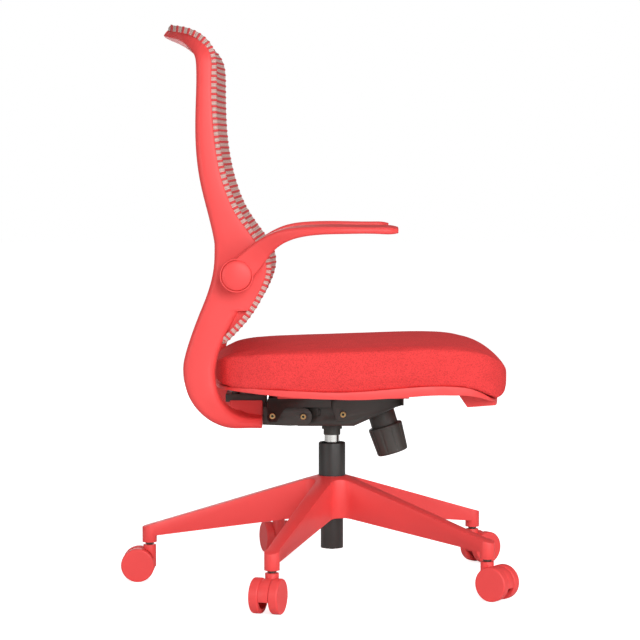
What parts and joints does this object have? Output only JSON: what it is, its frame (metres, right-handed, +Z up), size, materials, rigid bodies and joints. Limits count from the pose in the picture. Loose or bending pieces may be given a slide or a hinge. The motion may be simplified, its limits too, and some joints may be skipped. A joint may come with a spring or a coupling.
{
  "type": "office chair",
  "caption": "Office chair with a ribbed mesh back in a red S-shaped frame, padded seat, flip-up arms, tilt mechanism, gas lift and a star base on twin-wheel casters.",
  "frame": {"origin": "on the floor under the axis of the gas lift", "axes": "+X forward, the way the sitter faces; +Y to the sitter's left; +Z up"},
  "size_m": [0.7252, 0.7622, 1.0194],
  "materials": {
    "red_plastic": "satin moulded nylon",
    "red_fabric": "fine woven upholstery",
    "red_mesh": "ribbed elastic mesh",
    "black_plastic": "satin",
    "black_steel": "black powder coat",
    "chrome": "polished",
    "steel": "zinc plated",
    "brass": "plain pins",
    "plywood": "raw plywood"
  },
  "bodies": {
    "base": {"base_star": "red_plastic", "caster_stems": "steel", "column_tube": "black_steel", "column_bush": "black_plastic"},
    "gas_rod": {"piston_rod": "steel", "thrust_bearing": "steel", "rod_clip": "steel"},
    "lift": {"gas_cylinder": "chrome", "mechanism_housing": "black_steel", "taper_socket": "black_steel", "spring_barrel": "black_steel", "seat_pivot_pin": "brass", "back_pivot_pin": "brass", "lever_pin": "steel"},
    "valve": {"valve_button": "steel"},
    "knob": {"tension_knob": "black_plastic", "tension_screw": "steel"},
    "lever": {"lever_rod": "black_steel", "lever_paddle": "black_plastic"},
    "back": {"back_carrier": "black_steel", "link_pin": "brass", "back_frame": "red_plastic", "mesh_carrier": "red_plastic", "back_mesh": "red_mesh", "back_screws": "steel", "arm_bolt_right": "steel", "arm_bolt_left": "steel", "arm_washer_right": "black_plastic", "arm_washer_left": "black_plastic"},
    "seat": {"seat_plate": "black_steel", "seat_pan": "red_plastic", "seat_board": "plywood", "seat_cushion": "red_fabric", "seat_screws": "steel"},
    "arm_right": {"arm_right": "red_plastic", "arm_cap_right": "red_plastic"},
    "arm_left": {"arm_left": "red_plastic", "arm_cap_left": "red_plastic"},
    "caster_1": {"hood_1": "red_plastic", "axle_1": "steel"},
    "wheel_1_left": {"wheel_1_left": "red_plastic"},
    "wheel_1_right": {"wheel_1_right": "red_plastic"},
    "caster_2": {"hood_2": "red_plastic", "axle_2": "steel"},
    "wheel_2_left": {"wheel_2_left": "red_plastic"},
    "wheel_2_right": {"wheel_2_right": "red_plastic"},
    "caster_3": {"hood_3": "red_plastic", "axle_3": "steel"},
    "wheel_3_left": {"wheel_3_left": "red_plastic"},
    "wheel_3_right": {"wheel_3_right": "red_plastic"},
    "caster_4": {"hood_4": "red_plastic", "axle_4": "steel"},
    "wheel_4_left": {"wheel_4_left": "red_plastic"},
    "wheel_4_right": {"wheel_4_right": "red_plastic"},
    "caster_5": {"hood_5": "red_plastic", "axle_5": "steel"},
    "wheel_5_left": {"wheel_5_left": "red_plastic"},
    "wheel_5_right": {"wheel_5_right": "red_plastic"}
  },
  "joints": [
    {"name": "seat_swivel", "type": "hinge", "parent": "base", "child": "gas_rod", "pos_m": [0, 0, 0.0765], "axis": [0, 0, 1], "continuous": true},
    {"name": "seat_height", "type": "slide", "parent": "gas_rod", "child": "lift", "axis": [0, 0, 1], "range_m": [0, 0.08]},
    {"name": "lever_lift", "type": "hinge", "parent": "lift", "child": "lever", "pos_m": [-0.025, 0.0287, 0.32878], "axis": [1, 0, 0], "range_deg": [0, 8], "stiffness_Nm_per_rad": 1.5, "springref_deg": -11.46},
    {"name": "valve_press", "type": "slide", "parent": "lift", "child": "valve", "axis": [0, 0, -1], "range_m": [0, 0.0042]},
    {"name": "tension_turn", "type": "hinge", "parent": "lift", "child": "knob", "pos_m": [0.0985, 0, 0.292], "axis": [0.2874, 0, -0.9578], "range_deg": [-720, 720]},
    {"name": "back_tilt", "type": "hinge", "parent": "lift", "child": "back", "pos_m": [-0.053, 0, 0.314], "axis": [0, -1, 0], "range_deg": [0, 18], "stiffness_Nm_per_rad": 70, "springref_deg": -28.65},
    {"name": "seat_tilt", "type": "hinge", "parent": "lift", "child": "seat", "pos_m": [0.02, 0, 0.318], "axis": [0, -1, 0], "range_deg": [0, 7.89]},
    {"name": "arm_right_flip", "type": "hinge", "parent": "back", "child": "arm_right", "pos_m": [-0.168, -0.247, 0.5795], "axis": [0, -1, 0], "range_deg": [0, 90]},
    {"name": "arm_left_flip", "type": "hinge", "parent": "back", "child": "arm_left", "pos_m": [-0.168, 0.247, 0.5795], "axis": [0, -1, 0], "range_deg": [0, 90]},
    {"name": "caster_1_swivel", "type": "hinge", "parent": "base", "child": "caster_1", "pos_m": [-0.341, 0, 0.055], "axis": [0, 0, 1], "continuous": true},
    {"name": "wheel_1_left_spin", "type": "hinge", "parent": "caster_1", "child": "wheel_1_left", "pos_m": [-0.362, 0, 0.031], "axis": [0, -1, 0], "continuous": true},
    {"name": "wheel_1_right_spin", "type": "hinge", "parent": "caster_1", "child": "wheel_1_right", "pos_m": [-0.362, 0, 0.031], "axis": [0, -1, 0], "continuous": true},
    {"name": "caster_2_swivel", "type": "hinge", "parent": "base", "child": "caster_2", "pos_m": [-0.10537, -0.32431, 0.055], "axis": [0, 0, 1], "continuous": true},
    {"name": "wheel_2_left_spin", "type": "hinge", "parent": "caster_2", "child": "wheel_2_left", "pos_m": [-0.11186, -0.34428, 0.031], "axis": [0.9511, -0.309, 0], "continuous": true},
    {"name": "wheel_2_right_spin", "type": "hinge", "parent": "caster_2", "child": "wheel_2_right", "pos_m": [-0.11186, -0.34428, 0.031], "axis": [0.9511, -0.309, 0], "continuous": true},
    {"name": "caster_3_swivel", "type": "hinge", "parent": "base", "child": "caster_3", "pos_m": [0.27587, -0.20044, 0.055], "axis": [0, 0, 1], "continuous": true},
    {"name": "wheel_3_left_spin", "type": "hinge", "parent": "caster_3", "child": "wheel_3_left", "pos_m": [0.29286, -0.21278, 0.031], "axis": [0.5878, 0.809, 0], "continuous": true},
    {"name": "wheel_3_right_spin", "type": "hinge", "parent": "caster_3", "child": "wheel_3_right", "pos_m": [0.29286, -0.21278, 0.031], "axis": [0.5878, 0.809, 0], "continuous": true},
    {"name": "caster_4_swivel", "type": "hinge", "parent": "base", "child": "caster_4", "pos_m": [0.27587, 0.20044, 0.055], "axis": [0, 0, 1], "continuous": true},
    {"name": "wheel_4_left_spin", "type": "hinge", "parent": "caster_4", "child": "wheel_4_left", "pos_m": [0.29286, 0.21278, 0.031], "axis": [-0.5878, 0.809, 0], "continuous": true},
    {"name": "wheel_4_right_spin", "type": "hinge", "parent": "caster_4", "child": "wheel_4_right", "pos_m": [0.29286, 0.21278, 0.031], "axis": [-0.5878, 0.809, 0], "continuous": true},
    {"name": "caster_5_swivel", "type": "hinge", "parent": "base", "child": "caster_5", "pos_m": [-0.10537, 0.32431, 0.055], "axis": [0, 0, 1], "continuous": true},
    {"name": "wheel_5_left_spin", "type": "hinge", "parent": "caster_5", "child": "wheel_5_left", "pos_m": [-0.11186, 0.34428, 0.031], "axis": [-0.9511, -0.309, 0], "continuous": true},
    {"name": "wheel_5_right_spin", "type": "hinge", "parent": "caster_5", "child": "wheel_5_right", "pos_m": [-0.11186, 0.34428, 0.031], "axis": [-0.9511, -0.309, 0], "continuous": true}
  ],
  "couplings": [
    {"joint": "seat_tilt", "follows": "back_tilt", "ratio": 0.433},
    {"joint": "valve_press", "follows": "lever_lift", "m_per_rad": 0.0287}
  ]
}
